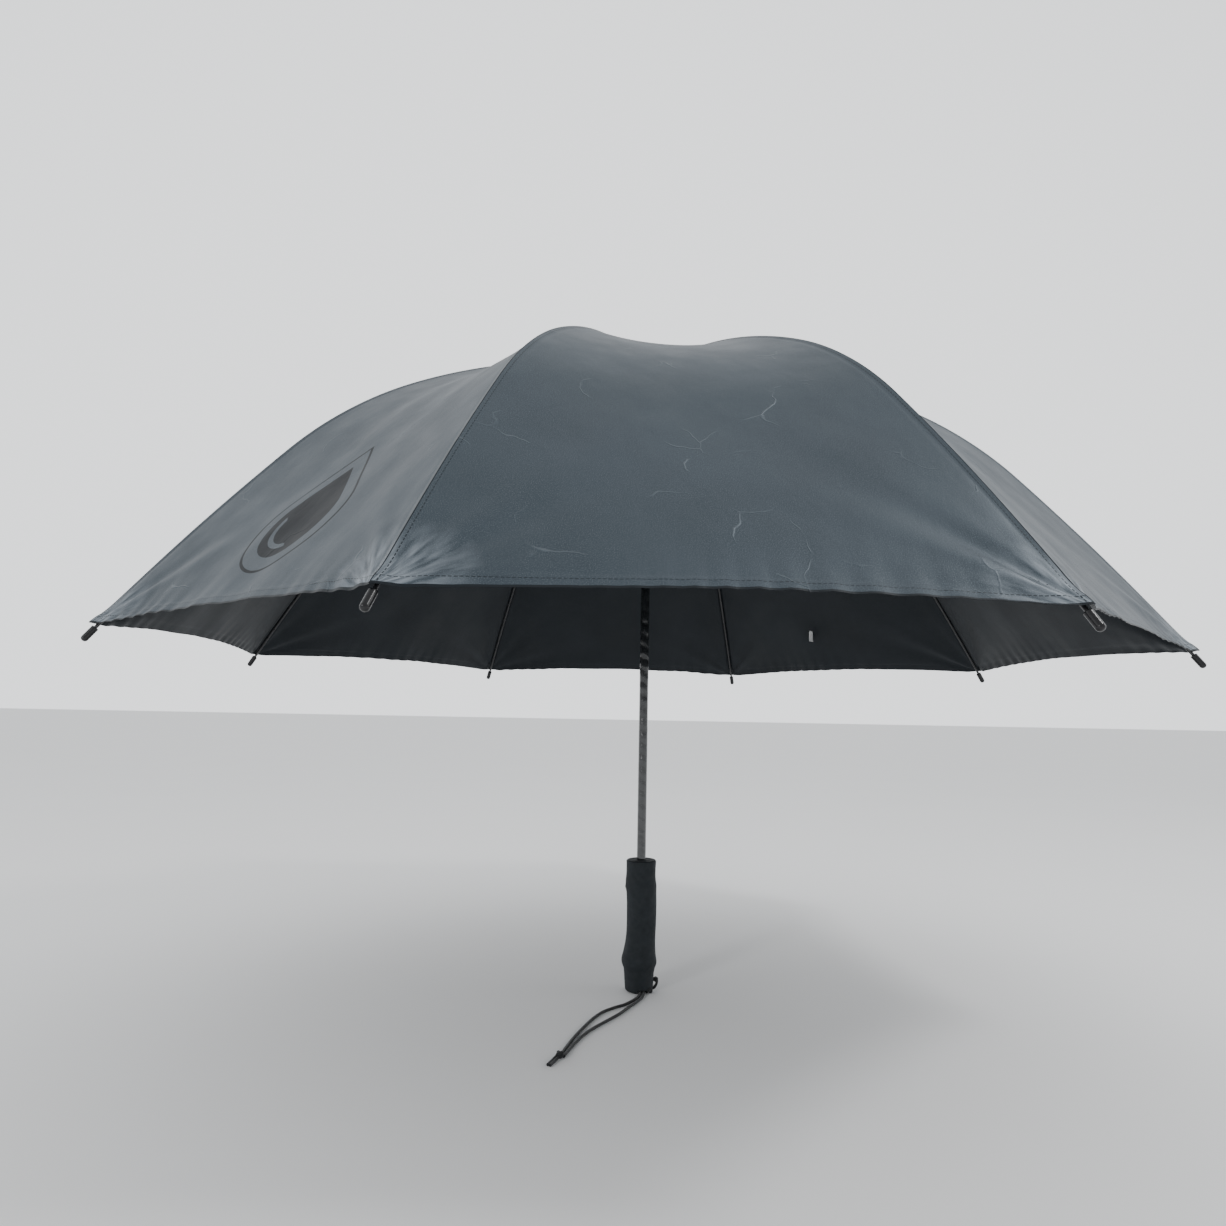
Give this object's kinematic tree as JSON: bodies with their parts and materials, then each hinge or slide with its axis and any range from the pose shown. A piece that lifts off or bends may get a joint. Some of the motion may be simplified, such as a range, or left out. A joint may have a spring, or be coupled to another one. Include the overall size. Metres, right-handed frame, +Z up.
{
  "type": "straight folding umbrella",
  "caption": "Straight hand-held umbrella with a faceted dome canopy on slim ribs, a sliding runner, a thin shaft, a knuckled foam grip and a doubled wrist cord.",
  "frame": {"origin": "centre of the grip's end face, on the shaft axis", "axes": "+Z up the shaft towards the ferrule; the gore between ribs 1 and 2 faces -Y"},
  "size_m": [0.874, 0.874, 0.63],
  "materials": {
    "wound_tube": "black fibre-wound tube, glossy resin with fine ridges of the winding",
    "black_plastic": "black moulded plastic, satin",
    "cap_plastic": "black moulded plastic, polished",
    "steel": "plain steel",
    "black_aluminium": "black anodised",
    "glass_fibre": "black pultruded rod, semi-gloss",
    "grip_foam": "matte closed-cell foam",
    "canopy_fabric": "thin coated woven fabric, slate grey outside with a fine metallic fleck, near black inside",
    "label_tape": "white woven tape",
    "cord": "braided black cord"
  },
  "bodies": {
    "shaft": {"shaft_tube": "wound_tube", "shaft_plug": "black_plastic", "catch_pins": "steel", "stop_pin": "steel", "crown_hub": "black_plastic", "crown_wire": "steel", "crown_pin": "steel", "crown_washer": "black_plastic", "ferrule": "black_plastic", "grip": "grip_foam", "cord_hitch": "cord", "cord_left": "cord", "cord_right": "cord", "cord_knot": "cord", "cord_tail": "cord"},
    "runner": {"runner": "black_plastic"},
    "top_catch": {"top_catch": "steel"},
    "bottom_catch": {"bottom_catch": "steel"},
    "rib_1": {"inner_rib_1": "black_aluminium"},
    "rib_2": {"inner_rib_2": "black_aluminium"},
    "rib_3": {"inner_rib_3": "black_aluminium"},
    "rib_4": {"inner_rib_4": "black_aluminium"},
    "rib_5": {"inner_rib_5": "black_aluminium"},
    "rib_6": {"inner_rib_6": "black_aluminium"},
    "rib_7": {"inner_rib_7": "black_aluminium"},
    "rib_8": {"inner_rib_8": "black_aluminium"},
    "tip_1": {"outer_rib_1": "glass_fibre", "tip_cap_1": "cap_plastic", "canopy_1": "canopy_fabric"},
    "tip_2": {"outer_rib_2": "glass_fibre", "tip_cap_2": "cap_plastic", "canopy_2": "canopy_fabric"},
    "tip_3": {"outer_rib_3": "glass_fibre", "tip_cap_3": "cap_plastic", "canopy_3": "canopy_fabric"},
    "tip_4": {"outer_rib_4": "glass_fibre", "tip_cap_4": "cap_plastic", "canopy_4": "canopy_fabric"},
    "tip_5": {"outer_rib_5": "glass_fibre", "tip_cap_5": "cap_plastic", "canopy_5": "canopy_fabric", "care_label": "label_tape"},
    "tip_6": {"outer_rib_6": "glass_fibre", "tip_cap_6": "cap_plastic", "canopy_6": "canopy_fabric", "tie_strap": "canopy_fabric"},
    "tip_7": {"outer_rib_7": "glass_fibre", "tip_cap_7": "cap_plastic", "canopy_7": "canopy_fabric"},
    "tip_8": {"outer_rib_8": "glass_fibre", "tip_cap_8": "cap_plastic", "canopy_8": "canopy_fabric"},
    "stretcher_1": {"stretcher_1": "black_aluminium"},
    "stretcher_2": {"stretcher_2": "black_aluminium"},
    "stretcher_3": {"stretcher_3": "black_aluminium"},
    "stretcher_4": {"stretcher_4": "black_aluminium"},
    "stretcher_5": {"stretcher_5": "black_aluminium"},
    "stretcher_6": {"stretcher_6": "black_aluminium"},
    "stretcher_7": {"stretcher_7": "black_aluminium"},
    "stretcher_8": {"stretcher_8": "black_aluminium"}
  },
  "joints": [
    {"name": "runner_slide", "type": "slide", "parent": "shaft", "child": "runner", "axis": [0, 0, 1], "range_m": [-0.33997, 0], "deforming": ["canopy_1", "canopy_2", "canopy_3", "canopy_4", "canopy_5", "canopy_6", "canopy_7", "canopy_8", "care_label", "tie_strap", "top_catch", "bottom_catch"]},
    {"name": "rib_1_fold", "type": "hinge", "parent": "shaft", "child": "rib_1", "pos_m": [-0.00306, -0.00739, 0.60077], "axis": [0.9239, -0.3827, 0], "range_deg": [0, 73.1]},
    {"name": "rib_1_flex", "type": "hinge", "parent": "rib_1", "child": "tip_1", "pos_m": [-0.09108, -0.21988, 0.54236], "axis": [0.9239, -0.3827, 0], "range_deg": [-30.39, 0]},
    {"name": "stretcher_1_pivot", "type": "hinge", "parent": "rib_1", "child": "stretcher_1", "pos_m": [-0.08791, -0.21222, 0.54137], "axis": [0.9239, -0.3827, 0], "range_deg": [-146.1, 0]},
    {"name": "rib_2_fold", "type": "hinge", "parent": "shaft", "child": "rib_2", "pos_m": [0.00306, -0.00739, 0.60077], "axis": [0.9239, 0.3827, 0], "range_deg": [0, 73.1]},
    {"name": "rib_2_flex", "type": "hinge", "parent": "rib_2", "child": "tip_2", "pos_m": [0.09108, -0.21988, 0.54236], "axis": [0.9239, 0.3827, 0], "range_deg": [-30.39, 0]},
    {"name": "stretcher_2_pivot", "type": "hinge", "parent": "rib_2", "child": "stretcher_2", "pos_m": [0.08791, -0.21222, 0.54137], "axis": [0.9239, 0.3827, 0], "range_deg": [-146.1, 0]},
    {"name": "rib_3_fold", "type": "hinge", "parent": "shaft", "child": "rib_3", "pos_m": [0.00739, -0.00306, 0.60077], "axis": [0.3827, 0.9239, 0], "range_deg": [0, 73.1]},
    {"name": "rib_3_flex", "type": "hinge", "parent": "rib_3", "child": "tip_3", "pos_m": [0.21988, -0.09108, 0.54236], "axis": [0.3827, 0.9239, 0], "range_deg": [-30.39, 0]},
    {"name": "stretcher_3_pivot", "type": "hinge", "parent": "rib_3", "child": "stretcher_3", "pos_m": [0.21222, -0.08791, 0.54137], "axis": [0.3827, 0.9239, 0], "range_deg": [-146.1, 0]},
    {"name": "rib_4_fold", "type": "hinge", "parent": "shaft", "child": "rib_4", "pos_m": [0.00739, 0.00306, 0.60077], "axis": [-0.3827, 0.9239, 0], "range_deg": [0, 73.1]},
    {"name": "rib_4_flex", "type": "hinge", "parent": "rib_4", "child": "tip_4", "pos_m": [0.21988, 0.09108, 0.54236], "axis": [-0.3827, 0.9239, 0], "range_deg": [-30.39, 0]},
    {"name": "stretcher_4_pivot", "type": "hinge", "parent": "rib_4", "child": "stretcher_4", "pos_m": [0.21222, 0.08791, 0.54137], "axis": [-0.3827, 0.9239, 0], "range_deg": [-146.1, 0]},
    {"name": "rib_5_fold", "type": "hinge", "parent": "shaft", "child": "rib_5", "pos_m": [0.00306, 0.00739, 0.60077], "axis": [-0.9239, 0.3827, 0], "range_deg": [0, 73.1]},
    {"name": "rib_5_flex", "type": "hinge", "parent": "rib_5", "child": "tip_5", "pos_m": [0.09108, 0.21988, 0.54236], "axis": [-0.9239, 0.3827, 0], "range_deg": [-30.39, 0]},
    {"name": "stretcher_5_pivot", "type": "hinge", "parent": "rib_5", "child": "stretcher_5", "pos_m": [0.08791, 0.21222, 0.54137], "axis": [-0.9239, 0.3827, 0], "range_deg": [-146.1, 0]},
    {"name": "rib_6_fold", "type": "hinge", "parent": "shaft", "child": "rib_6", "pos_m": [-0.00306, 0.00739, 0.60077], "axis": [-0.9239, -0.3827, 0], "range_deg": [0, 73.1]},
    {"name": "rib_6_flex", "type": "hinge", "parent": "rib_6", "child": "tip_6", "pos_m": [-0.09108, 0.21988, 0.54236], "axis": [-0.9239, -0.3827, 0], "range_deg": [-30.39, 0]},
    {"name": "stretcher_6_pivot", "type": "hinge", "parent": "rib_6", "child": "stretcher_6", "pos_m": [-0.08791, 0.21222, 0.54137], "axis": [-0.9239, -0.3827, 0], "range_deg": [-146.1, 0]},
    {"name": "rib_7_fold", "type": "hinge", "parent": "shaft", "child": "rib_7", "pos_m": [-0.00739, 0.00306, 0.60077], "axis": [-0.3827, -0.9239, 0], "range_deg": [0, 73.1]},
    {"name": "rib_7_flex", "type": "hinge", "parent": "rib_7", "child": "tip_7", "pos_m": [-0.21988, 0.09108, 0.54236], "axis": [-0.3827, -0.9239, 0], "range_deg": [-30.39, 0]},
    {"name": "stretcher_7_pivot", "type": "hinge", "parent": "rib_7", "child": "stretcher_7", "pos_m": [-0.21222, 0.08791, 0.54137], "axis": [-0.3827, -0.9239, 0], "range_deg": [-146.1, 0]},
    {"name": "rib_8_fold", "type": "hinge", "parent": "shaft", "child": "rib_8", "pos_m": [-0.00739, -0.00306, 0.60077], "axis": [0.3827, -0.9239, 0], "range_deg": [0, 73.1]},
    {"name": "rib_8_flex", "type": "hinge", "parent": "rib_8", "child": "tip_8", "pos_m": [-0.21988, -0.09108, 0.54236], "axis": [0.3827, -0.9239, 0], "range_deg": [-30.39, 0]},
    {"name": "stretcher_8_pivot", "type": "hinge", "parent": "rib_8", "child": "stretcher_8", "pos_m": [-0.21222, -0.08791, 0.54137], "axis": [0.3827, -0.9239, 0], "range_deg": [-146.1, 0]},
    {"name": "top_catch_press", "type": "hinge", "parent": "shaft", "child": "top_catch", "pos_m": [0, 0.00055, 0.44167], "axis": [1, 0, 0], "range_deg": [0, 6.4], "stiffness_Nm_per_rad": 0.3, "springref_deg": -2.86},
    {"name": "bottom_catch_press", "type": "hinge", "parent": "shaft", "child": "bottom_catch", "pos_m": [0, 0.00055, 0.147], "axis": [-1, 0, 0], "range_deg": [0, 6.4], "stiffness_Nm_per_rad": 0.3, "springref_deg": -2.86}
  ],
  "couplings": [
    {"joint": "rib_1_fold", "follows": "runner_slide", "rad_per_m": -3.7477},
    {"joint": "rib_1_flex", "follows": "runner_slide", "rad_per_m": 1.5552},
    {"joint": "stretcher_1_pivot", "follows": "runner_slide", "rad_per_m": 7.4954},
    {"joint": "rib_2_fold", "follows": "runner_slide", "rad_per_m": -3.7477},
    {"joint": "rib_2_flex", "follows": "runner_slide", "rad_per_m": 1.5552},
    {"joint": "stretcher_2_pivot", "follows": "runner_slide", "rad_per_m": 7.4954},
    {"joint": "rib_3_fold", "follows": "runner_slide", "rad_per_m": -3.7477},
    {"joint": "rib_3_flex", "follows": "runner_slide", "rad_per_m": 1.5552},
    {"joint": "stretcher_3_pivot", "follows": "runner_slide", "rad_per_m": 7.4954},
    {"joint": "rib_4_fold", "follows": "runner_slide", "rad_per_m": -3.7477},
    {"joint": "rib_4_flex", "follows": "runner_slide", "rad_per_m": 1.5552},
    {"joint": "stretcher_4_pivot", "follows": "runner_slide", "rad_per_m": 7.4954},
    {"joint": "rib_5_fold", "follows": "runner_slide", "rad_per_m": -3.7477},
    {"joint": "rib_5_flex", "follows": "runner_slide", "rad_per_m": 1.5552},
    {"joint": "stretcher_5_pivot", "follows": "runner_slide", "rad_per_m": 7.4954},
    {"joint": "rib_6_fold", "follows": "runner_slide", "rad_per_m": -3.7477},
    {"joint": "rib_6_flex", "follows": "runner_slide", "rad_per_m": 1.5552},
    {"joint": "stretcher_6_pivot", "follows": "runner_slide", "rad_per_m": 7.4954},
    {"joint": "rib_7_fold", "follows": "runner_slide", "rad_per_m": -3.7477},
    {"joint": "rib_7_flex", "follows": "runner_slide", "rad_per_m": 1.5552},
    {"joint": "stretcher_7_pivot", "follows": "runner_slide", "rad_per_m": 7.4954},
    {"joint": "rib_8_fold", "follows": "runner_slide", "rad_per_m": -3.7477},
    {"joint": "rib_8_flex", "follows": "runner_slide", "rad_per_m": 1.5552},
    {"joint": "stretcher_8_pivot", "follows": "runner_slide", "rad_per_m": 7.4954}
  ]
}
